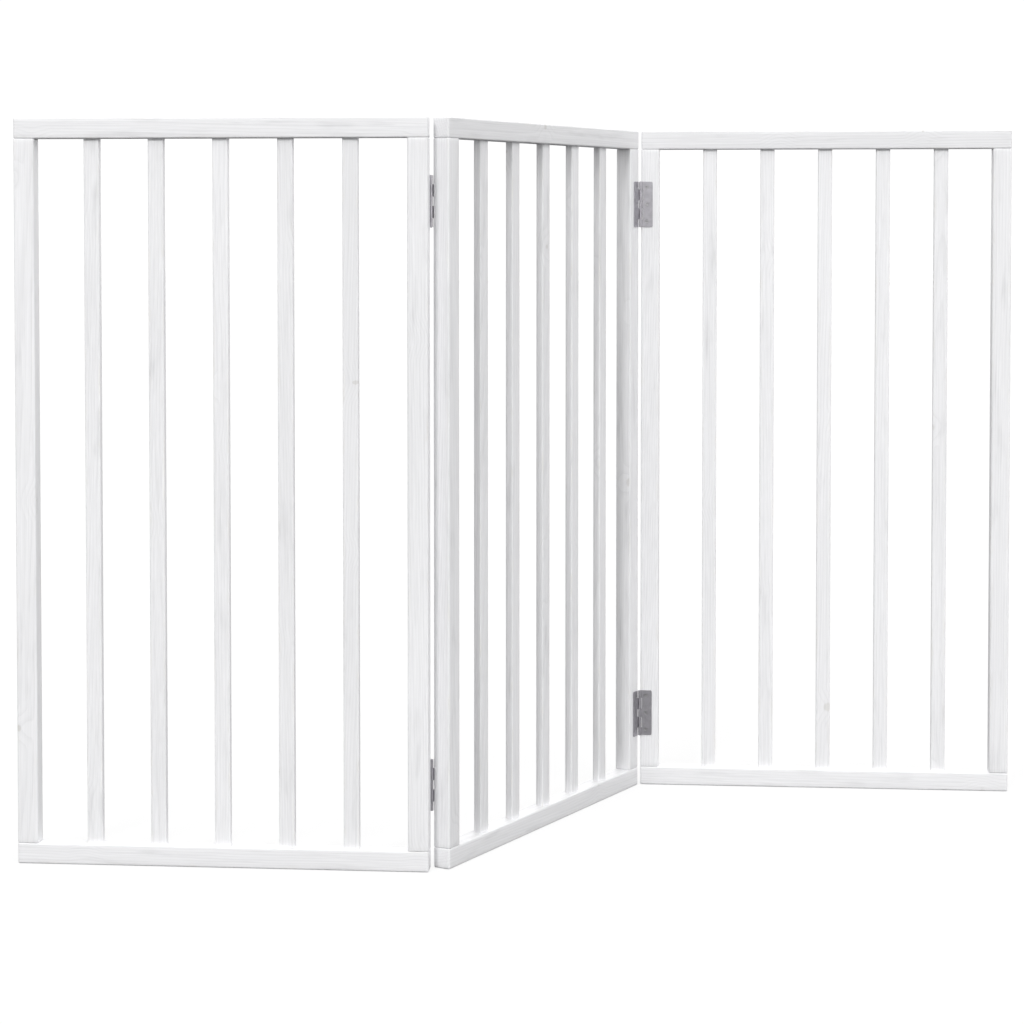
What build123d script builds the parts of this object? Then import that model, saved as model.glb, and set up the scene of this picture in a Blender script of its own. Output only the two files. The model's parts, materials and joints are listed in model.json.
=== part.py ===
from build123d import *
import os

# A free-standing pet gate: three slatted wooden panels, joined in a zigzag by two pairs of steel butt hinges.
# Millimetres. The origin is on the floor under the centre of the middle panel, +Z is up, and the two outer
# panels lie along X. A panel's own plane has X along its width and Y from its front face to its back face.

# Panels
panel_width = 500.0
panel_height = 900.0
frame_thickness = 22.0
rail_height = 25.0
post_width = 25.0
frame_edge_radius = 2.0
post_end_radius = 1.0

# Slats, standing in mortises in the two rails
slat_count = 5
slat_width = 19.0
slat_thickness = 10.0
slat_edge_radius = 1.5
slat_side_clearance = 0.1
slat_head_clearance = 0.5
mortise_depth = 10.0

# Dowels that join each post to its rails
dowel_radius = 3.0
dowel_spacing = 11.0
dowel_depth_in_rail = 15.0
dowel_depth_in_post = 20.0
dowel_side_clearance = 0.05
dowel_end_clearance = 0.5

# Butt hinges
hinge_length = 62.0
hinge_inset = 100.0
leaf_reach = 16.5
leaf_corner_radius = 2.0
sheet_thickness = 0.9
narrow_knuckle = 10.4
narrow_knuckle_count = 3
knuckle_clearance = 0.25
pin_radius = 1.0
pin_clearance = 0.05
pin_overhang = 0.4
pin_tip_radius = 0.35
curl_seam = 0.25
notch_clearance = 1.5
end_clearance = 1.0

# Countersunk wood screws, three to a leaf
screw_count = 3
screw_spacing = 23.5
screw_setback = 8.4
screw_head_radius = 2.8
screw_shank_radius = 1.5
screw_length = 16.0
screw_tip_length = 3.0
screw_tip_radius = 0.2
countersink_angle = 90.0
screw_clearance = 0.1
recess_length = 3.4
recess_width = 0.8
recess_depth = 0.9

# How far each outer panel is folded out of line with the middle one
fold_angle = 65.0

# Sizes that follow from the ones above
post_length = panel_height - 2 * rail_height
post_offset = (panel_width - post_width) / 2
slat_gap = (panel_width - 2 * post_width - slat_count * slat_width) / (slat_count + 1)
slat_pitch = slat_width + slat_gap
slat_length = post_length + 2 * mortise_depth - slat_head_clearance
curl_radius = pin_radius + pin_clearance
barrel_radius = curl_radius + sheet_thickness
notch_edge = barrel_radius + notch_clearance
wide_knuckle = (hinge_length - narrow_knuckle_count * narrow_knuckle) / (narrow_knuckle_count - 1)
screw_head_height = screw_head_radius - screw_shank_radius
pivot_reach = panel_width / 2 + end_clearance
pivot_depth = frame_thickness / 2 + barrel_radius
hinge_heights = {"upper": panel_height - hinge_inset, "lower": hinge_inset}

up = Vector(0, 0, 1)
standing = (Align.CENTER, Align.CENTER, Align.MIN)
hanging = (Align.CENTER, Align.CENTER, Align.MAX)


def save(piece, label):
    piece.part.label = label
    export_step(piece.part, f"parts/{label}.step")


def shifted(plane, x, y=0.0, z=0.0):
    # The same plane, moved by x, y and z along its own directions.
    return Plane(origin=plane.from_local_coords(Vector(x, y, z)), x_dir=plane.x_dir, z_dir=plane.z_dir)


# Panel planes: the middle panel stands askew, and each outer panel is placed from the pin that it shares with it.
middle_plane = Plane.XY.rotated((0, 0, fold_angle))
pin_from_centre = Vector(pivot_reach, pivot_depth, 0)
left_pin = middle_plane.from_local_coords(Vector(-pivot_reach, pivot_depth, 0))
right_pin = middle_plane.from_local_coords(Vector(pivot_reach, -pivot_depth, 0))
left_plane = Plane(origin=left_pin - pin_from_centre, x_dir=(1, 0, 0), z_dir=up)
right_plane = Plane(origin=right_pin + pin_from_centre, x_dir=(1, 0, 0), z_dir=up)


def leaf_planes(panel_plane, pin, side, face):
    # One plane for each hinge on this edge of the panel. Its origin is on the pin, half way up the hinge, with X
    # running from the pin over the panel and Y into the wood. side is +1 for the panel's right-hand edge, and
    # face is +1 where the hinges lie on its back face.
    over_panel = panel_plane.x_dir * -side
    into_wood = panel_plane.y_dir * -face
    along_pin = over_panel.cross(into_wood)
    return {
        level: Plane(origin=pin + up * height, x_dir=over_panel, z_dir=along_pin)
        for level, height in hinge_heights.items()
    }


def screw_planes(leaf_plane, depth):
    # The planes of a leaf's screws, at this depth below the leaf's outer surface, with Z pointing out of the wood.
    surface = shifted(leaf_plane, screw_setback, curl_radius + depth)
    out_of_wood = leaf_plane.y_dir * -1
    first = -screw_spacing * (screw_count - 1) / 2
    return [
        Plane(
            origin=surface.origin + leaf_plane.z_dir * (first + index * screw_spacing),
            x_dir=leaf_plane.x_dir,
            z_dir=out_of_wood,
        )
        for index in range(screw_count)
    ]


# Rails: full width, with a mortise for each slat and holes for two dowels at each end.
def make_rail(panel_plane, bottom, joint_height, into_rail):
    # joint_height is the side that meets the posts, and into_rail is +1 where the rail lies above it.
    with BuildPart(panel_plane.offset(bottom)) as rail:
        Box(panel_width, frame_thickness, rail_height, align=standing)
        fillet(rail.edges(), frame_edge_radius)
        with BuildSketch(panel_plane.offset(joint_height)):
            with GridLocations(slat_pitch, 0, slat_count, 1):
                RectangleRounded(
                    slat_width + 2 * slat_side_clearance,
                    slat_thickness + 2 * slat_side_clearance,
                    slat_edge_radius + slat_side_clearance,
                )
        extrude(amount=into_rail * mortise_depth, mode=Mode.SUBTRACT)
        with BuildSketch(panel_plane.offset(joint_height)):
            with GridLocations(2 * post_offset, 0, 2, 1):
                with GridLocations(dowel_spacing, 0, 2, 1):
                    Circle(dowel_radius + dowel_side_clearance)
        extrude(amount=into_rail * (dowel_depth_in_rail + dowel_end_clearance), mode=Mode.SUBTRACT)
    return rail


# Posts: they stand between the rails, with dowel holes in both ends and pilot holes under any hinge leaf.
def make_post(post_plane, hinge_leaf_planes):
    with BuildPart() as post:
        with Locations(post_plane):
            Box(post_width, frame_thickness, post_length, align=standing)
        fillet(post.edges().filter_by(Axis.Z), frame_edge_radius)
        fillet(post.faces().filter_by(Axis.Z).edges(), post_end_radius)
        hole_depth = dowel_depth_in_post + dowel_end_clearance
        for end_plane in (post_plane.offset(hole_depth), post_plane.offset(post_length)):
            with BuildSketch(end_plane):
                with GridLocations(dowel_spacing, 0, 2, 1):
                    Circle(dowel_radius + dowel_side_clearance)
            extrude(amount=-hole_depth, mode=Mode.SUBTRACT)
        for leaf_plane in hinge_leaf_planes:
            with Locations(*screw_planes(leaf_plane, sheet_thickness)):
                CounterSinkHole(
                    screw_shank_radius + screw_clearance,
                    screw_head_radius - sheet_thickness + screw_clearance,
                    depth=screw_length - sheet_thickness + screw_clearance,
                    counter_sink_angle=countersink_angle,
                )
    return post


# Slats: thinner than the frame and centred in it, each standing on the floor of its lower mortise.
def make_slat(slat_plane):
    with BuildPart(slat_plane) as slat:
        Box(slat_width, slat_thickness, slat_length, align=standing)
        fillet(slat.edges().filter_by(Axis.Z), slat_edge_radius)
    return slat


# Dowels: two through each of the panel's four post joints.
def make_dowels(panel_plane):
    dowel_length = dowel_depth_in_rail + dowel_depth_in_post
    with BuildPart() as dowels:
        for bottom in (rail_height - dowel_depth_in_rail, rail_height + post_length - dowel_depth_in_post):
            with BuildSketch(panel_plane.offset(bottom)):
                with GridLocations(2 * post_offset, 0, 2, 1):
                    with GridLocations(dowel_spacing, 0, 2, 1):
                        Circle(dowel_radius)
            extrude(amount=dowel_length)
    return dowels


# Hinge leaves: a flat plate with countersunk holes, and knuckles curled from the same sheet round the pin.
def make_leaf(leaf_plane, knuckle_length, knuckle_centres):
    plate_plane = shifted(leaf_plane, notch_edge, curl_radius)
    plate_align = (Align.MIN, Align.MIN, Align.CENTER)
    with BuildPart() as leaf:
        with Locations(plate_plane):
            Box(leaf_reach - notch_edge, sheet_thickness, hinge_length, align=plate_align)
        through_edges = leaf.edges().filter_by(Axis(plate_plane.origin, plate_plane.y_dir))
        fillet(through_edges.group_by(Axis(plate_plane.origin, plate_plane.x_dir))[-1], leaf_corner_radius)
        for centre in knuckle_centres:
            with BuildSketch(leaf_plane.offset(centre - knuckle_length / 2)):
                Circle(barrel_radius)
                with Locations((0, curl_radius)):
                    Rectangle(notch_edge, sheet_thickness, align=(Align.MIN, Align.MIN))
                Circle(curl_radius, mode=Mode.SUBTRACT)
                with Locations((0, curl_radius)):
                    Rectangle(notch_edge, curl_seam, align=(Align.MIN, Align.MAX), mode=Mode.SUBTRACT)
            extrude(amount=knuckle_length)
        with Locations(*screw_planes(leaf_plane, 0.0)):
            CounterSinkHole(
                screw_shank_radius + screw_clearance,
                screw_head_radius + screw_clearance,
                depth=2 * sheet_thickness,
                counter_sink_angle=countersink_angle,
            )
    return leaf


# Pins: they run the length of the knuckles, with a rounded tip showing at each end.
def make_pin(pin_plane):
    with BuildPart(pin_plane) as pin:
        Cylinder(pin_radius, hinge_length + 2 * pin_overhang)
        fillet(pin.edges().filter_by(GeomType.CIRCLE), pin_tip_radius)
    return pin


# Screws: countersunk, with a cross recess, their heads flush with the leaf.
def make_screws(head_planes):
    with BuildPart(*head_planes) as screws:
        Cone(screw_shank_radius, screw_head_radius, screw_head_height, align=hanging)
        with Locations((0, 0, -screw_head_height)):
            Cylinder(screw_shank_radius, screw_length - screw_head_height - screw_tip_length, align=hanging)
        with Locations((0, 0, screw_tip_length - screw_length)):
            Cone(screw_tip_radius, screw_shank_radius, screw_tip_length, align=hanging)
        Box(recess_length, recess_width, recess_depth, align=hanging, mode=Mode.SUBTRACT)
        Box(recess_width, recess_length, recess_depth, align=hanging, mode=Mode.SUBTRACT)
    return screws


# The leaves of each pair of hinges, by the panel that carries them.
left_outer_leaves = leaf_planes(left_plane, left_pin, side=1, face=1)
left_middle_leaves = leaf_planes(middle_plane, left_pin, side=-1, face=1)
right_middle_leaves = leaf_planes(middle_plane, right_pin, side=1, face=-1)
right_outer_leaves = leaf_planes(right_plane, right_pin, side=-1, face=-1)

# Each panel: its plane, then each post's name, its side of the panel and the hinge leaves on it.
panels = {
    "left_panel": (left_plane, [("outer", -1, {}), ("hinge", 1, left_outer_leaves)]),
    "middle_panel": (middle_plane, [("left", -1, left_middle_leaves), ("right", 1, right_middle_leaves)]),
    "right_panel": (right_plane, [("hinge", -1, right_outer_leaves), ("outer", 1, {})]),
}

os.makedirs("parts", exist_ok=True)

for panel, (panel_plane, posts) in panels.items():
    save(make_rail(panel_plane, 0.0, rail_height, -1), f"{panel}_bottom_rail")
    top_rail_bottom = panel_height - rail_height
    save(make_rail(panel_plane, top_rail_bottom, top_rail_bottom, 1), f"{panel}_top_rail")
    for side_name, side, leaves in posts:
        post_plane = shifted(panel_plane, side * post_offset, z=rail_height)
        save(make_post(post_plane, leaves.values()), f"{panel}_{side_name}_post")
    for index in range(slat_count):
        across = (index - (slat_count - 1) / 2) * slat_pitch
        slat_plane = shifted(panel_plane, across, z=rail_height - mortise_depth)
        save(make_slat(slat_plane), f"{panel}_slat_{index + 1}")
    save(make_dowels(panel_plane), f"{panel}_dowels")

# The outer panel's leaf has the narrow knuckles, at both ends and the middle, and the middle panel's leaf has the
# wide ones that fill the spaces between them.
narrow_centres = [
    (index - (narrow_knuckle_count - 1) / 2) * (narrow_knuckle + wide_knuckle)
    for index in range(narrow_knuckle_count)
]
wide_centres = [(before + after) / 2 for before, after in zip(narrow_centres, narrow_centres[1:])]

joints = {
    "left": (left_pin, left_outer_leaves, left_middle_leaves),
    "right": (right_pin, right_outer_leaves, right_middle_leaves),
}

for joint, (pin_foot, outer_leaves, middle_leaves) in joints.items():
    for level, height in hinge_heights.items():
        hinge = f"{joint}_{level}_hinge"
        outer_plane = outer_leaves[level]
        middle_leaf_plane = middle_leaves[level]
        save(make_leaf(outer_plane, narrow_knuckle, narrow_centres), f"{hinge}_outer_leaf")
        wide_length = wide_knuckle - 2 * knuckle_clearance
        save(make_leaf(middle_leaf_plane, wide_length, wide_centres), f"{hinge}_middle_leaf")
        save(make_pin(Plane(origin=pin_foot + up * height, z_dir=up)), f"{hinge}_pin")
        save(make_screws(screw_planes(outer_plane, 0.0)), f"{hinge}_outer_screws")
        save(make_screws(screw_planes(middle_leaf_plane, 0.0)), f"{hinge}_middle_screws")
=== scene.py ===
import bmesh
import bpy
import json
import math
import numpy as np
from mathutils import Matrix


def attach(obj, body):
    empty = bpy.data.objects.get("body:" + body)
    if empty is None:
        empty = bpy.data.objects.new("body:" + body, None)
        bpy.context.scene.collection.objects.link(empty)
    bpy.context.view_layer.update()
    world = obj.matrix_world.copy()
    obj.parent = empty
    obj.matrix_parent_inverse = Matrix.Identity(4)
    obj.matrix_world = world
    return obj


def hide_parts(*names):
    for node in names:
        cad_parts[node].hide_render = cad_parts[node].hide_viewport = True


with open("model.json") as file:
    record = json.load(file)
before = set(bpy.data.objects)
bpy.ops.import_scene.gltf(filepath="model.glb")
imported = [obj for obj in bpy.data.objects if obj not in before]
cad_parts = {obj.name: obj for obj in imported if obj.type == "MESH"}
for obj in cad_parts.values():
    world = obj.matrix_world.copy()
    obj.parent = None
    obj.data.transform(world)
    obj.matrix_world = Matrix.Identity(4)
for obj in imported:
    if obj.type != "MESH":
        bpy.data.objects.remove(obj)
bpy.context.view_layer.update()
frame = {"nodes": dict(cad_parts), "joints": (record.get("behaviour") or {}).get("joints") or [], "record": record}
nodes = frame["nodes"]
bodies = frame["record"]["behaviour"]["bodies"]

# The middle panel stands turned from the other two by the angle at which the hinges rest.
joints = {joint["name"]: joint for joint in frame["joints"]}
foldAngle = math.radians(-joints["right_panel_fold"]["range_deg"][0])
panelTurn = {"left_panel": 0.0, "middle_panel": foldAngle, "right_panel": 0.0}


def turned(points, angle):
    # points turned about +Z: x' = x cos - y sin, y' = x sin + y cos
    cosine, sine = math.cos(angle), math.sin(angle)
    return points @ np.array([[cosine, sine, 0.0], [-sine, cosine, 0.0], [0.0, 0.0, 1.0]])


def meshPoints(mesh):
    points = np.empty(len(mesh.vertices) * 3, np.float32)
    mesh.vertices.foreach_get("co", points)
    return points.reshape(-1, 3).astype(float)


def localBox(node, angle):
    # the lowest and highest corners of a CAD node, measured along its own panel
    points = turned(meshPoints(nodes[node].data), -angle)
    return points.min(axis=0), points.max(axis=0)


def pieceName(node):
    return node.title().replace("_", "")


def addPiece(mesh, node, body, slot):
    # the new piece rides on the node's body and stands in its place
    mesh.polygons.foreach_set("use_smooth", np.ones(len(mesh.polygons), bool))
    mesh.materials.append(materials[slot])
    piece = bpy.data.objects.new(mesh.name, mesh)
    bpy.context.scene.collection.objects.link(piece)
    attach(piece, body)
    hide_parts(node)
    return piece


def connect(tree, node, links):
    # links say what feeds each input: another node's output or a plain value
    for socket, value in links.items():
        if isinstance(value, bpy.types.NodeSocket):
            tree.links.new(value, node.inputs[socket])
        else:
            node.inputs[socket].default_value = value


# Each of these adds one shader node and gives back what comes out of it.
def put(tree, kind, links, **options):
    node = tree.nodes.new(kind)
    for option, value in options.items():
        setattr(node, option, value)
    connect(tree, node, links)
    return node.outputs


def placeGroup(tree, group, links):
    return put(tree, "ShaderNodeGroup", links, node_tree=group)


def attribute(tree, name):
    return put(tree, "ShaderNodeAttribute", {}, attribute_name=name, attribute_type="GEOMETRY")


def calc(tree, operation, *values):
    return put(tree, "ShaderNodeMath", dict(enumerate(values)), operation=operation)[0]


def calcVector(tree, operation, *values):
    return put(tree, "ShaderNodeVectorMath", dict(enumerate(values)), operation=operation)[0]


def ease(tree, value, low, high, toLow=0.0, toHigh=1.0):
    # a smooth step: toLow below low, toHigh above high
    links = {"Value": value, "From Min": low, "From Max": high, "To Min": toLow, "To Max": toHigh}
    return put(tree, "ShaderNodeMapRange", links, interpolation_type="SMOOTHSTEP")[0]


def mixColours(tree, factor, first, second):
    return put(tree, "ShaderNodeMix", {0: factor, 6: first, 7: second}, data_type="RGBA")[2]


def emboss(tree, height):
    # the surface's direction when it is raised by height, in millimetres
    return put(tree, "ShaderNodeBump", {"Height": height, "Distance": 0.001, "Strength": 1.0})[0]


def noise(tree, coord, scale, detail, roughness):
    # scale is how many blotches there are to a metre along each axis
    stretched = calcVector(tree, "MULTIPLY", coord, scale)
    links = {"Vector": stretched, "Scale": 1.0, "Detail": detail, "Roughness": roughness}
    return put(tree, "ShaderNodeTexNoise", links)


def distance(tree, across, along):
    # the square root of the sum of the two squares
    squares = [calc(tree, "POWER", leg, 2.0) for leg in (across, along)]
    return calc(tree, "SQRT", calc(tree, "ADD", *squares))


def grey(level):
    return (level, level, level, 1.0)


def startGroup(name, inputs, outputs):
    # inputs and outputs are {name: kind of socket}; what comes in and the node that ends the group come back
    tree = bpy.data.node_groups.new(name, "ShaderNodeTree")
    for socket, kind in inputs.items():
        tree.interface.new_socket(socket, in_out="INPUT", socket_type=kind)
    for socket, kind in outputs.items():
        tree.interface.new_socket(socket, in_out="OUTPUT", socket_type=kind)
    return tree, tree.nodes.new("NodeGroupInput").outputs, tree.nodes.new("NodeGroupOutput")


def startMaterial(name):
    material = bpy.data.materials.new(name)
    material.use_nodes = True
    return material, material.node_tree, material.node_tree.nodes["Principled BSDF"]


number, vector, colour = "NodeSocketFloat", "NodeSocketVector", "NodeSocketColor"
figureMasks = ("Latewood", "Fibre", "Knot", "Drift", "Stain")

# Each noise in the settings below is its blotches to a metre along each axis, its detail and its roughness.
wood = {
    "branchesPerRadian": 0.95,
    "branchesPerMetre": 2.3,
    "knotTallness": 1.25,
    "knotChance": (0.3, 1.0),           # the lot drawn by the smallest and by the largest knot
    "knotSize": (0.0006, 0.0048),
    "knotEdge": (0.55, 1.15),           # a knot fades out between these shares of its size
    # from the ripple's range to how ragged a knot's outline is
    "knotRipple": (0.2, 0.8, -0.0012, 0.0012),
    "knotBend": 0.0065,                 # how far a knot pushes the rings outwards
    "knotReach": 0.024,                 # and how far from it they feel it
    "wanderDepth": 0.011,               # slow waving of the rings along the stick
    "rippleDepth": 0.0010,
    "wander": ((24.0, 24.0, 3.2), 2.0, 0.5),
    "ripple": ((160.0, 160.0, 14.0), 2.0, 0.5),
    "fibre": ((1000.0, 1000.0, 16.0), 3.0, 0.62),
    "drift": ((26.0, 26.0, 3.4), 1.5, 0.5),
    "stain": ((75.0, 75.0, 13.0), 2.5, 0.55),
    "streak": ((420.0, 420.0, 9.0), 2.0, 0.6),
    "stained": (0.53, 0.80),            # the stain sets in between these values of its noise
    # from the streak's range to how much of the stain it lets through
    "streaked": (0.25, 0.75, 0.35, 1.0),
    # places in a growth ring, from 0 to 1, and how dark the wood is there
    "ringDarkness": ((0.0, 0.05), (0.45, 0.12), (0.80, 0.75), (0.90, 1.0), (1.0, 0.05)),
}


def findKnots(tree, angle, height, radius, ripple):
    # A knot is a branch: a point on the unrolled surface (angle, height) from which it runs straight out.
    # What comes back is the distance from the nearest one, and a mask that is 1 inside it.
    around = calc(tree, "MULTIPLY", angle, wood["branchesPerRadian"])
    upward = calc(tree, "MULTIPLY", height, wood["branchesPerMetre"])
    unrolled = put(tree, "ShaderNodeCombineXYZ", {0: around, 1: upward})[0]
    links = {"Vector": unrolled, "Scale": 1.0}
    branches = put(tree, "ShaderNodeTexVoronoi", links, voronoi_dimensions="2D")
    apart = calcVector(tree, "SUBTRACT", unrolled, branches["Position"])
    aside, above = put(tree, "ShaderNodeSeparateXYZ", {0: apart})[:2]
    aside = calc(tree, "MULTIPLY", calc(tree, "DIVIDE", aside, wood["branchesPerRadian"]), radius)
    above = calc(tree, "DIVIDE", above, wood["branchesPerMetre"] * wood["knotTallness"])
    ragged = ease(tree, ripple, *wood["knotRipple"])
    fromKnot = calc(tree, "ADD", distance(tree, aside, above), ragged)
    chance = put(tree, "ShaderNodeSeparateXYZ", {0: branches["Color"]})[0]
    size = ease(tree, chance, *wood["knotChance"], *wood["knotSize"])
    knot = ease(tree, calc(tree, "DIVIDE", fromKnot, size), *wood["knotEdge"], 1.0, 0.0)
    return fromKnot, knot


def ringRamp(tree, ring):
    # how dark the wood is from one growth ring's start, at 0, to its end, at 1
    latewood = put(tree, "ShaderNodeValToRGB", {0: ring})[0]
    stops = latewood.node.color_ramp.elements
    stops.remove(stops[1])
    first, *others = wood["ringDarkness"]
    stops[0].color = grey(first[1])
    for position, level in others:
        stops.new(position).color = grey(level)
    return latewood


def makeWoodFigure():
    # Growth rings are circles round the heart, the Z axis of Coord, pushed outwards where a knot runs
    # through them. Stain is the grey, unevenly soaked-in patches drawn out along the grain.
    tree, given, made = startGroup(
        "woodFigure", {"Coord": vector, "Ring Width": number}, {name: number for name in figureMasks})
    coord = given["Coord"]
    wander = noise(tree, coord, *wood["wander"])[0]
    ripple = noise(tree, coord, *wood["ripple"])[0]
    x, y, z = put(tree, "ShaderNodeSeparateXYZ", {0: coord})
    radius = distance(tree, x, y)
    fromKnot, knot = findKnots(tree, calc(tree, "ARCTAN2", y, x), z, radius, ripple)
    grown = calc(tree, "ADD", radius, ease(tree, fromKnot, 0.0, wood["knotReach"], wood["knotBend"], 0.0))
    grown = calc(tree, "ADD", grown, calc(tree, "MULTIPLY", wander, wood["wanderDepth"]))
    grown = calc(tree, "ADD", grown, calc(tree, "MULTIPLY", ripple, wood["rippleDepth"]))
    ring = calc(tree, "FRACT", calc(tree, "DIVIDE", grown, given["Ring Width"]))
    stained = ease(tree, noise(tree, coord, *wood["stain"])[0], *wood["stained"])
    streaked = ease(tree, noise(tree, coord, *wood["streak"])[0], *wood["streaked"])
    connect(tree, made, {
        "Latewood": ringRamp(tree, ring),
        "Fibre": noise(tree, coord, *wood["fibre"])[0],
        "Knot": knot,
        "Drift": noise(tree, coord, *wood["drift"])[0],
        "Stain": calc(tree, "MULTIPLY", stained, streaked),
    })
    return tree


brushwork = {
    "brush": ((620.0, 620.0, 4.5), 3.0, 0.6),
    "bristle": ((2600.0, 2600.0, 26.0), 2.0, 0.6),
    "rub": ((150.0, 150.0, 28.0), 3.0, 0.65),
    "rubbed": (0.52, 0.68),    # where along an edge the coat is rubbed thin
    "rubPower": 1.6,           # how closely the rubbing keeps to the edge
    "knotThinness": 0.30,
    "roughness": 0.50,
    "bristleRoughness": 0.20,
    "wornRoughness": 0.15,
    # each mask's middle value, how much it lightens the coat, and how far it raises it in millimetres
    "masks": {
        "Latewood": (0.35, -0.050, 0.020),
        "Fibre": (0.50, -0.150, 0.030),
        "Drift": (0.50, 0.100, 0.0),
        "Tone": (0.50, 0.030, 0.0),
        "Knot": (0.0, -0.090, -0.030),
        "Stain": (0.0, -0.130, 0.0),
        "brush": (0.50, -0.160, 0.035),
        "bristle": (0.50, 0.0, 0.012),
        "worn": (0.0, 0.0, -0.020),
    },
}


def makeBrushedCoat():
    # Thin paint laid on with a brush along the grain. Its colour is the paint's times 1 plus each mask's
    # lightening, and it turns to the thin paint's where it is rubbed on the edges and over knots.
    floats = (*figureMasks, "Edge", "Tone", "Show Through", "Wear")
    inputs = {"Coord": vector, "Paint": colour, "Thin Paint": colour, **{name: number for name in floats}}
    tree, given, made = startGroup(
        "brushedCoat", inputs, {"Color": colour, "Roughness": number, "Height": number})
    coord = given["Coord"]
    masks = {name: given[name] for name in (*figureMasks, "Tone")}
    masks["brush"] = noise(tree, coord, *brushwork["brush"])[0]
    masks["bristle"] = noise(tree, coord, *brushwork["bristle"])[0]
    rubbed = ease(tree, noise(tree, coord, *brushwork["rub"])[0], *brushwork["rubbed"])
    rubbed = calc(tree, "MULTIPLY", calc(tree, "POWER", given["Edge"], brushwork["rubPower"]), rubbed)
    masks["worn"] = calc(tree, "MULTIPLY", rubbed, given["Wear"])
    lighter, height = 0.0, 0.0
    for name, (middle, lightening, rise) in brushwork["masks"].items():
        centred = calc(tree, "SUBTRACT", masks[name], middle)
        lighter = calc(tree, "ADD", lighter, calc(tree, "MULTIPLY", centred, lightening))
        height = calc(tree, "ADD", height, calc(tree, "MULTIPLY", centred, rise))
    shade = calc(tree, "ADD", calc(tree, "MULTIPLY", lighter, given["Show Through"]), 1.0)
    thin = calc(tree, "MULTIPLY", given["Knot"], brushwork["knotThinness"])
    thin = calc(tree, "MINIMUM", calc(tree, "ADD", masks["worn"], thin), 1.0)
    coat = mixColours(tree, thin, given["Paint"], given["Thin Paint"])
    bristled = calc(tree, "SUBTRACT", masks["bristle"], brushwork["masks"]["bristle"][0])
    bristled = calc(tree, "MULTIPLY", bristled, brushwork["bristleRoughness"])
    rough = calc(tree, "ADD", bristled, calc(tree, "MULTIPLY", masks["worn"], brushwork["wornRoughness"]))
    connect(tree, made, {
        "Color": put(tree, "ShaderNodeVectorMath", {0: coat, "Scale": shade}, operation="SCALE")[0],
        "Roughness": calc(tree, "ADD", rough, brushwork["roughness"]),
        "Height": height,
    })
    return tree


metalSkin = {
    "lines": ((900.0, 900.0, 9000.0), 2.0, 0.6),
    "clouds": ((140.0, 140.0, 140.0), 4.0, 0.6),
    "bend": ((180.0, 180.0, 180.0), 2.0, 0.5),
    "bendDepth": (0.004, 0.004, 0.004),
    "scratchDensity": 420.0,
    "scratchWidth": 0.05,
    "scratched": (0.50, 0.66),    # scratches show where the clouds' noise passes these
}


def makeMetalWear():
    # rolling lines across the sheet, short random scratches and the clouding of a plated surface
    tree, given, made = startGroup(
        "metalWear", {"Coord": vector}, {"Lines": number, "Scratches": number, "Clouds": number})
    coord = given["Coord"]
    lines = noise(tree, coord, *metalSkin["lines"])[0]
    clouds = noise(tree, coord, *metalSkin["clouds"])[0]
    bend = calcVector(tree, "MULTIPLY", noise(tree, coord, *metalSkin["bend"])[1], metalSkin["bendDepth"])
    links = {"Vector": calcVector(tree, "ADD", coord, bend), "Scale": metalSkin["scratchDensity"]}
    cracks = put(tree, "ShaderNodeTexVoronoi", links, feature="DISTANCE_TO_EDGE")[0]
    scratches = ease(tree, cracks, 0.0, metalSkin["scratchWidth"], 1.0, 0.0)
    connect(tree, made, {
        "Lines": calc(tree, "SUBTRACT", lines, 0.5),
        "Scratches": calc(tree, "MULTIPLY", scratches, ease(tree, clouds, *metalSkin["scratched"])),
        "Clouds": clouds,
    })
    return tree


woodGroup = makeWoodFigure()
coatGroup = makeBrushedCoat()
wearGroup = makeMetalWear()

whitePaint = {
    "paint": (0.800, 0.800, 0.812, 1),
    "thinPaint": (0.745, 0.720, 0.665, 1),    # the wood's warmth comes through
    "showThrough": 1.25,
    "wear": 0.5,
    "ringWidth": 0.0034,
    "ior": 1.46,
}


def makePaintedWood():
    material, tree, shader = startMaterial("paintedWood")
    coord = attribute(tree, "grainCoord")["Vector"]
    figure = placeGroup(tree, woodGroup, {"Coord": coord, "Ring Width": whitePaint["ringWidth"]})
    links = {name: figure[name] for name in figureMasks}
    links["Coord"] = coord
    links["Edge"] = attribute(tree, "edgeWear")["Fac"]
    links["Tone"] = attribute(tree, "stickTone")["Fac"]
    links["Paint"] = whitePaint["paint"]
    links["Thin Paint"] = whitePaint["thinPaint"]
    links["Show Through"] = whitePaint["showThrough"]
    links["Wear"] = whitePaint["wear"]
    coat = placeGroup(tree, coatGroup, links)
    connect(tree, shader, {
        "Base Color": coat["Color"],
        "Roughness": coat["Roughness"],
        "Normal": emboss(tree, coat["Height"]),
    })
    shader.inputs["IOR"].default_value = whitePaint["ior"]
    return material


beech = {
    "early": (0.640, 0.440, 0.265, 1),
    "late": (0.470, 0.290, 0.160, 1),
    "ringWidth": 0.0018,
    "ringShare": 0.6,                       # how much of the colour the rings set
    "fibreShare": 0.4,                      # and how much the fibres do
    "roughness": (0.2, 0.8, 0.55, 0.70),    # from the fibre mask's range to the roughness
    "fibreHeight": 0.04,
}


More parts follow.
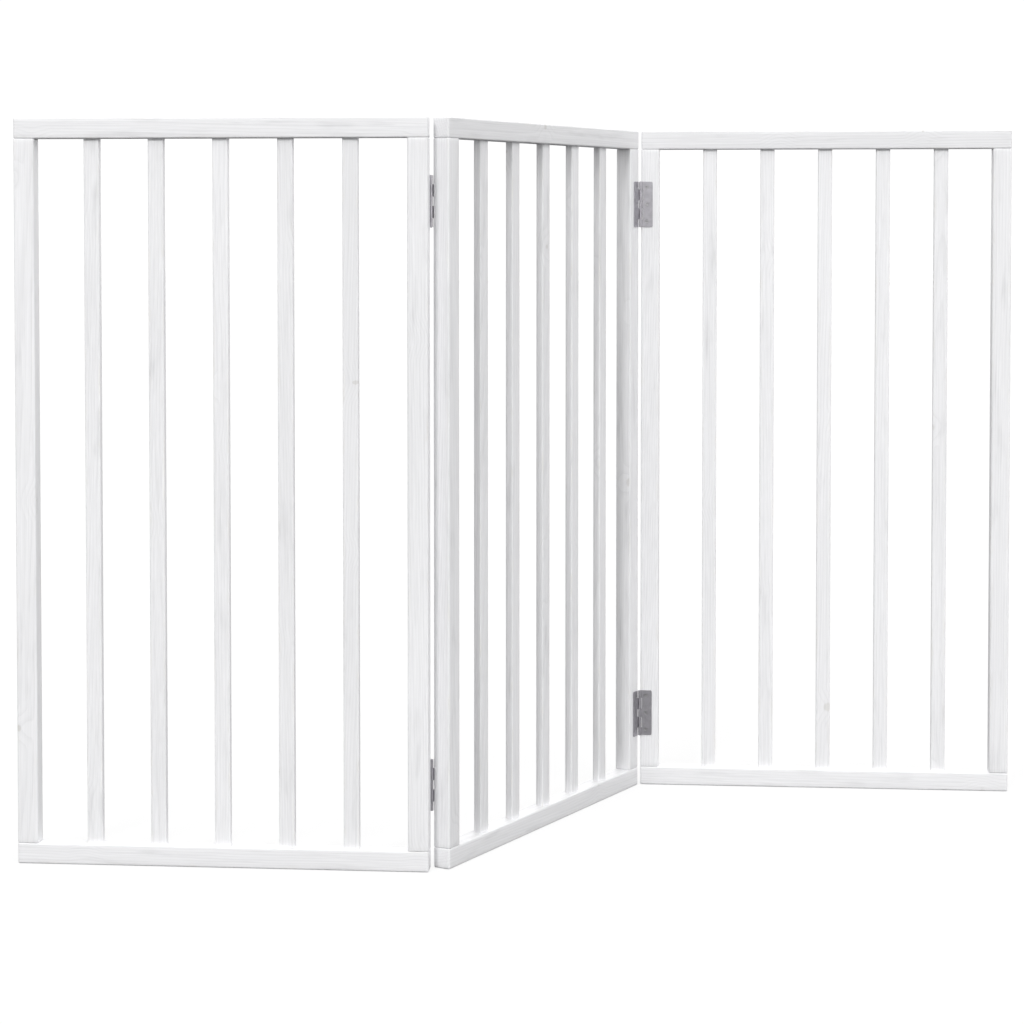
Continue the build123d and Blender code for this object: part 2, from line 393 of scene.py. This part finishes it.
def makeBareWood():
    # the dowels stand upright, so their grain follows the object's own Z axis
    material, tree, shader = startMaterial("bareWood")
    coord = put(tree, "ShaderNodeTexCoord", {})["Object"]
    figure = placeGroup(tree, woodGroup, {"Coord": coord, "Ring Width": beech["ringWidth"]})
    ringed = calc(tree, "MULTIPLY", figure["Latewood"], beech["ringShare"])
    tint = calc(tree, "ADD", ringed, calc(tree, "MULTIPLY", figure["Fibre"], beech["fibreShare"]))
    connect(tree, shader, {
        "Base Color": mixColours(tree, tint, beech["early"], beech["late"]),
        "Roughness": ease(tree, figure["Fibre"], *beech["roughness"]),
        "Normal": emboss(tree, calc(tree, "MULTIPLY", figure["Fibre"], beech["fibreHeight"])),
    })
    return material


zincPlate = {
    "bright": (0.520, 0.508, 0.540, 1),
    "dull": (0.430, 0.420, 0.448, 1),
    "dulled": (0.3, 0.7),    # the clouds go from bright to dull between these values of their noise
    "roughness": 0.40,
    "cloudRoughness": 0.10,
    "scratchRoughness": 0.15,
    "lineHeight": 0.006,
    "scratchHeight": -0.008,
}
screwSteel = {
    **zincPlate,
    "bright": (0.590, 0.585, 0.600, 1),
    "dull": (0.430, 0.425, 0.440, 1),
    "roughness": 0.32,
}


def makeSteel(name, finish):
    material, tree, shader = startMaterial(name)
    wear = placeGroup(tree, wearGroup, {"Coord": put(tree, "ShaderNodeTexCoord", {})["Object"]})
    tone = calc(tree, "ADD", ease(tree, wear["Clouds"], *finish["dulled"]), wear["Lines"])
    clouded = calc(tree, "MULTIPLY", wear["Clouds"], finish["cloudRoughness"])
    scratched = calc(tree, "MULTIPLY", wear["Scratches"], finish["scratchRoughness"])
    lined = calc(tree, "MULTIPLY", wear["Lines"], finish["lineHeight"])
    cut = calc(tree, "MULTIPLY", wear["Scratches"], finish["scratchHeight"])
    connect(tree, shader, {
        "Base Color": mixColours(tree, tone, finish["bright"], finish["dull"]),
        "Roughness": calc(tree, "ADD", calc(tree, "ADD", clouded, scratched), finish["roughness"]),
        "Normal": emboss(tree, calc(tree, "ADD", lined, cut)),
    })
    shader.inputs["Metallic"].default_value = 1.0
    return material


materials = {
    "painted_wood": makePaintedWood(),
    "bare_wood": makeBareWood(),
    "hinge_steel": makeSteel("zincPlate", zincPlate),
    "screw_steel": makeSteel("screwSteel", screwSteel),
}
print("materials made:", len(materials))

stick = {
    # the radius of each kind's long edges, and that of the edge round its ends
    "edges": {"rail": (0.002, 0.002), "post": (0.002, 0.0011), "slat": (0.0015, 0.0004)},
    "cornerSteps": 6,         # faces round each long edge
    "faceSteps": 4,           # faces across each flat side
    "sectionPitch": 0.005,    # along the stick
    "capSteps": 4,            # faces round each end's edge
    "capRings": 3,            # rings across each end face
    "leastRadius": 0.04,      # share of its radius that an edge keeps at the stick's very end
    "edgeWander": 0.10,       # share of its radius by which an edge's sanding varies
    "edgeWaves": (0.09, 0.17, 0.31, 0.53),
    "planing": 0.00002,       # how unevenly the plane took off
    "planingWaves": (0.06, 0.11, 0.23),
    "waveCount": 4,
    "dents": 2,               # small knocks on the edges of each stick
    "dentDepth": 0.0005,
    "dentDepthShare": (0.4, 1.0),
    "dentLength": 0.0022,
    "dentStretch": (0.7, 2.0),
    "dentSpan": 0.48,         # share of the stick's length, either way from its middle
    "wearWidth": 0.004,       # how far from a long edge the paint can be rubbed
    "heartDistance": (0.025, 0.07),    # how far outside the stick the tree's heart lay
    "heartLean": 0.035,
    "trunkLength": 40.0,      # each stick's grain starts somewhere along this
    "topRailTone": -1.0,      # the top rails are a little greyer than the rest
    "firstSeed": 12,
}


def slowWave(rng, places, spans):
    # the mean of sines of random phase, each one of the spans long
    chosen = rng.choice(spans, stick["waveCount"])[:, None]
    phases = rng.uniform(0, 2 * np.pi, stick["waveCount"])[:, None]
    return np.sin(2 * np.pi * places[None] / chosen + phases).mean(axis=0)


def edgeRadii(rng, along, length, edge):
    # the radius of each of the four long edges along the stick: slow waves, and a bell at each dent
    waves = np.stack([slowWave(rng, along, stick["edgeWaves"]) for corner in range(4)])
    radii = edge * (1 + stick["edgeWander"] * waves)
    for dent in range(stick["dents"]):
        centre = rng.uniform(-stick["dentSpan"], stick["dentSpan"]) * length
        spread = stick["dentLength"] * rng.uniform(*stick["dentStretch"])
        depth = stick["dentDepth"] * rng.uniform(*stick["dentDepthShare"])
        radii[rng.integers(4)] += depth * np.exp(-(((along - centre) / spread) ** 2))
    return radii.T


def sectionPlaces(length, endEdge):
    # where the sections stand along the stick, and how far each is inset: at either end the inset grows
    # as a quarter circle does
    count = max(2, int(length / stick["sectionPitch"]))
    body = np.linspace(-length / 2 + endEdge, length / 2 - endEdge, count)
    bend = np.linspace(0, np.pi / 2, stick["capSteps"] + 1)[1:]
    outward = endEdge * np.sin(bend)
    inward = endEdge * (1 - np.cos(bend))
    along = np.concatenate([-length / 2 + endEdge - outward[::-1], body, length / 2 - endEdge + outward])
    return along, np.concatenate([inward[::-1], np.zeros(count), inward])


def roundedSections(halves, radius):
    # each section is four quarter circles joined by straight sides; halves are half its width and depth
    quarter = np.linspace(0, np.pi / 2, stick["cornerSteps"] + 1)
    angles = quarter[None, :] + np.arange(4)[:, None] * np.pi / 2
    signs = np.array([[1, 1], [-1, 1], [-1, -1], [1, -1]])
    centres = signs[None] * (halves[:, None, :] - radius[:, :, None])
    spokes = np.stack([np.cos(angles), np.sin(angles)], axis=-1)
    arcs = centres[:, :, None, :] + radius[:, :, None, None] * spokes[None]
    last = arcs[:, :, -1:, :]
    following = np.roll(arcs[:, :, :1, :], -1, axis=1)
    share = (np.arange(1, stick["faceSteps"]) / stick["faceSteps"])[None, None, :, None]
    return np.concatenate([arcs, last + (following - last) * share], axis=2).reshape(len(halves), -1, 2)


def stickGrid(rng, size, edge, endEdge):
    # The rounded sections carried along Z. At both ends the last one is repeated, ever smaller.
    along, inset = sectionPlaces(size[2], endEdge)
    waves = np.stack([slowWave(rng, along, stick["planingWaves"]) for side in range(2)], axis=-1)
    halves = np.array(size[:2]) / 2 - stick["planing"] * (0.5 + 0.5 * waves) - inset[:, None]
    radius = edgeRadii(rng, along, size[2], edge) - inset[:, None]
    rings = roundedSections(halves, np.maximum(radius, edge * stick["leastRadius"]))
    heights = np.broadcast_to(along[:, None, None], rings.shape[:2] + (1,))
    grid = np.concatenate([rings, heights], axis=2)
    shrink = 1 - np.arange(1, stick["capRings"] + 1) / (stick["capRings"] + 1)
    shrink = np.stack([shrink, shrink, np.ones_like(shrink)], axis=-1)[:, None, :]
    return np.concatenate([grid[:1] * shrink[::-1], grid, grid[-1:] * shrink])


def closedTube(name, grid):
    # the grid's rings joined by quads, and both ends closed by a fan to one point
    rows, around = grid.shape[:2]
    ends = [grid[0].mean(axis=0)[None], grid[-1].mean(axis=0)[None]]
    points = np.concatenate([grid.reshape(-1, 3), *ends])
    index = np.arange(rows * around).reshape(rows, around)
    following = np.roll(index, -1, axis=1)
    quads = np.stack([index[:-1], following[:-1], following[1:], index[1:]], axis=-1).reshape(-1, 4)
    firstFan = np.stack([following[0], index[0], np.full(around, rows * around)], axis=-1)
    lastFan = np.stack([index[-1], following[-1], np.full(around, rows * around + 1)], axis=-1)
    mesh = bpy.data.meshes.new(name)
    mesh.from_pydata(points.tolist(), [], quads.tolist() + firstFan.tolist() + lastFan.tolist())
    mesh.update()
    return mesh


def markPoints(mesh, name, values):
    # one vector or one number for each point
    kind, field = ("FLOAT_VECTOR", "vector") if values.ndim == 2 else ("FLOAT", "value")
    mark = mesh.attributes.new(name, kind, "POINT")
    mark.data.foreach_set(field, values.astype(np.float32).ravel())


def markGrain(rng, mesh, low, high, angle, order, tone):
    # Three marks for the wood's material. grainCoord has its Z along the fibres, and its X and Y measured
    # from the tree's heart, which leans a little. edgeWear is 1 on the long edges. stickTone is one value
    # a stick.
    points = (turned(meshPoints(mesh), -angle) - (low + high) / 2)[:, order]
    halves = (high - low)[order] / 2
    toEdge = np.clip(halves[:2] - np.abs(points[:, :2]), 0, None).sum(axis=1)
    heartAngle = rng.uniform(0, 2 * np.pi)
    heart = rng.uniform(*stick["heartDistance"]) * np.array([math.cos(heartAngle), math.sin(heartAngle)])
    lean = rng.uniform(-stick["heartLean"], stick["heartLean"], 2)
    grain = points.copy()
    grain[:, :2] += heart + points[:, 2:] * lean
    grain[:, 2] += rng.uniform(0, stick["trunkLength"])
    markPoints(mesh, "grainCoord", grain)
    markPoints(mesh, "edgeWear", 1 - np.clip(toEdge / stick["wearWidth"], 0, 1))
    markPoints(mesh, "stickTone", np.full(len(points), tone + rng.uniform(0, 1)))


def makeStick(node, body, kind, seed):
    # Posts and slats stand upright and rails lie along their panel. The stick fills the CAD node's own box.
    rng = np.random.default_rng(seed)
    angle = panelTurn[body]
    low, high = localBox(node, angle)
    lying = kind == "rail"
    order = [1, 2, 0] if lying else [0, 1, 2]
    grid = stickGrid(rng, (high - low)[order], *stick["edges"][kind])
    if lying:
        grid = grid[..., [2, 0, 1]]
    grid = turned((grid + (low + high) / 2).reshape(-1, 3), angle).reshape(grid.shape)
    mesh = closedTube(pieceName(node), grid)
    tone = stick["topRailTone"] if "top_rail" in node else 0.0
    markGrain(rng, mesh, low, high, angle, order, tone)
    addPiece(mesh, node, body, "painted_wood")


sticks = [
    (node, body, kind) for body, members in bodies.items() for node in sorted(members)
    for kind in stick["edges"] if kind in node]
for place, (node, body, kind) in enumerate(sticks):
    makeStick(node, body, kind, stick["firstSeed"] + place)
print("rails, posts and slats made:", len(sticks))

hardware = {
    "leaf": {"slot": "hinge_steel", "edge": 0.00012},    # edge is how much the cut edges are softened
    "pin": {"slot": "hinge_steel", "edge": 0.00006},
    "screws": {"slot": "screw_steel", "edge": 0.00008},
}
softening = {
    "weld": 1e-6,
    "flat": 0.5,         # degrees: faces that turn less than this from their neighbours are joined to them
    "sharpest": 32.0,    # degrees: edges that turn more than this are rounded
    "segments": 2,
}


def makeSoftened(node, body, slot, edge):
    # a copy of the CAD piece, welded, its flat faces joined, and its sharp edges rounded by a bevel
    shell = bmesh.new()
    shell.from_mesh(nodes[node].data)
    bmesh.ops.remove_doubles(shell, verts=shell.verts, dist=softening["weld"])
    flat = math.radians(softening["flat"])
    bmesh.ops.dissolve_limit(shell, angle_limit=flat, verts=shell.verts, edges=shell.edges)
    mesh = bpy.data.meshes.new(pieceName(node))
    shell.to_mesh(mesh)
    shell.free()
    piece = addPiece(mesh, node, body, slot)
    rounding = piece.modifiers.new("rounding", "BEVEL")
    rounding.width = edge
    rounding.segments = softening["segments"]
    rounding.limit_method = "ANGLE"
    rounding.angle_limit = math.radians(softening["sharpest"])
    piece.modifiers.new("evening", "WEIGHTED_NORMAL").keep_sharp = False


for body, members in bodies.items():
    for node in sorted(members):
        kind = node.split("_")[-1]
        if kind in hardware:
            makeSoftened(node, body, **hardware[kind])
        if kind == "dowels":
            nodes[node].data.materials.clear()
            nodes[node].data.materials.append(materials["bare_wood"])
print("hinges, screws and dowels made")

studio = {
    "floorSize": 60.0,
    "floorLines": 9,         # lines of points across the floor
    "floorDrop": 0.0002,     # keeps the floor just under the gate
    "floorBounce": 0.11,     # how much light the floor sends back up
    "floorGlow": 0.81,       # what the camera sees of it is mostly this white
    "floorShade": 0.17,      # with a little of the real shading
    "sky": 0.85,             # the light that comes from all round
    "skySeen": 1.05,         # and how bright the camera sees it
}
lights = {
    "keyLight": {"strength": 1.28, "angle": 14.0, "turn": (62.0, 0.0, -22.0)},     # in front, a little left
    "fillLight": {"strength": 1.28, "angle": 60.0, "turn": (66.0, 0.0, 52.0)},     # softer, from the right
    "backLight": {"strength": 0.90, "angle": 50.0, "turn": (68.0, 0.0, 176.0)},    # lifts the far side
}
view = {
    "place": (0.2162, -3.0335, 0.7712),
    "pitch": -1.972,
    "yaw": 4.826,
    "lens": 83.483,
    "sensor": 36.0,
    "rise": -0.2,            # the lens's shift, as a share of the sensor's width
    "near": 0.05,
    "far": 200.0,
}


def makeFloorMaterial():
    # the camera sees a near-white glow with a faint shading, and light meets a darker, plainly diffuse floor
    material, tree, shader = startMaterial("paleFloor")
    tree.nodes.remove(shader)
    seen = put(tree, "ShaderNodeLightPath", {})["Is Camera Ray"]
    bounce = put(tree, "ShaderNodeBsdfDiffuse", {"Color": grey(studio["floorBounce"])})[0]
    glow = put(tree, "ShaderNodeEmission", {"Color": grey(1.0), "Strength": studio["floorGlow"]})[0]
    shade = put(tree, "ShaderNodeBsdfDiffuse", {"Color": grey(studio["floorShade"])})[0]
    white = put(tree, "ShaderNodeAddShader", {0: glow, 1: shade})[0]
    choice = put(tree, "ShaderNodeMixShader", {0: seen, 1: bounce, 2: white})[0]
    connect(tree, tree.nodes["Material Output"], {"Surface": choice})
    return material


def makeFloor():
    # a flat sheet of a few quads, large enough to pass for endless
    steps = np.linspace(-studio["floorSize"] / 2, studio["floorSize"] / 2, studio["floorLines"])
    x, y = np.meshgrid(steps, steps)
    points = np.stack([x.ravel(), y.ravel(), np.full(x.size, -studio["floorDrop"])], axis=-1)
    index = np.arange(x.size).reshape(x.shape)
    corners = [index[:-1, :-1], index[:-1, 1:], index[1:, 1:], index[1:, :-1]]
    mesh = bpy.data.meshes.new("floor")
    mesh.from_pydata(points.tolist(), [], np.stack(corners, axis=-1).reshape(-1, 4).tolist())
    mesh.materials.append(makeFloorMaterial())
    floor = bpy.data.objects.new("floor", mesh)
    bpy.context.scene.collection.objects.link(floor)


def makeSky():
    # the same light from every side, and plain white where it is seen directly
    world = bpy.data.worlds.new("studio")
    bpy.context.scene.world = world
    world.use_nodes = True
    tree = world.node_tree
    seen = put(tree, "ShaderNodeLightPath", {})["Is Camera Ray"]
    links = {0: seen, 2: studio["sky"], 3: studio["skySeen"]}
    strength = put(tree, "ShaderNodeMix", links, data_type="FLOAT")[0]
    connect(tree, tree.nodes["Background"], {"Color": grey(1.0), "Strength": strength})


def makeSun(name, strength, angle, turn):
    lamp = bpy.data.lights.new(name, "SUN")
    lamp.energy = strength
    lamp.angle = math.radians(angle)
    sun = bpy.data.objects.new(name, lamp)
    sun.rotation_euler = [math.radians(part) for part in turn]
    bpy.context.scene.collection.objects.link(sun)


def makeCamera():
    lens = bpy.data.cameras.new("camera")
    lens.lens = view["lens"]
    lens.sensor_width = view["sensor"]
    lens.shift_y = view["rise"]
    lens.clip_start = view["near"]
    lens.clip_end = view["far"]
    camera = bpy.data.objects.new("camera", lens)
    camera.location = view["place"]
    camera.rotation_euler = (math.radians(90 + view["pitch"]), 0.0, math.radians(view["yaw"]))
    bpy.context.scene.collection.objects.link(camera)
    bpy.context.scene.camera = camera


makeFloor()
makeSky()
for name, light in lights.items():
    makeSun(name, **light)
makeCamera()
bpy.context.scene.view_settings.view_transform = "Standard"
bpy.context.scene.view_settings.look = "None"
print("floor, light and camera ready")
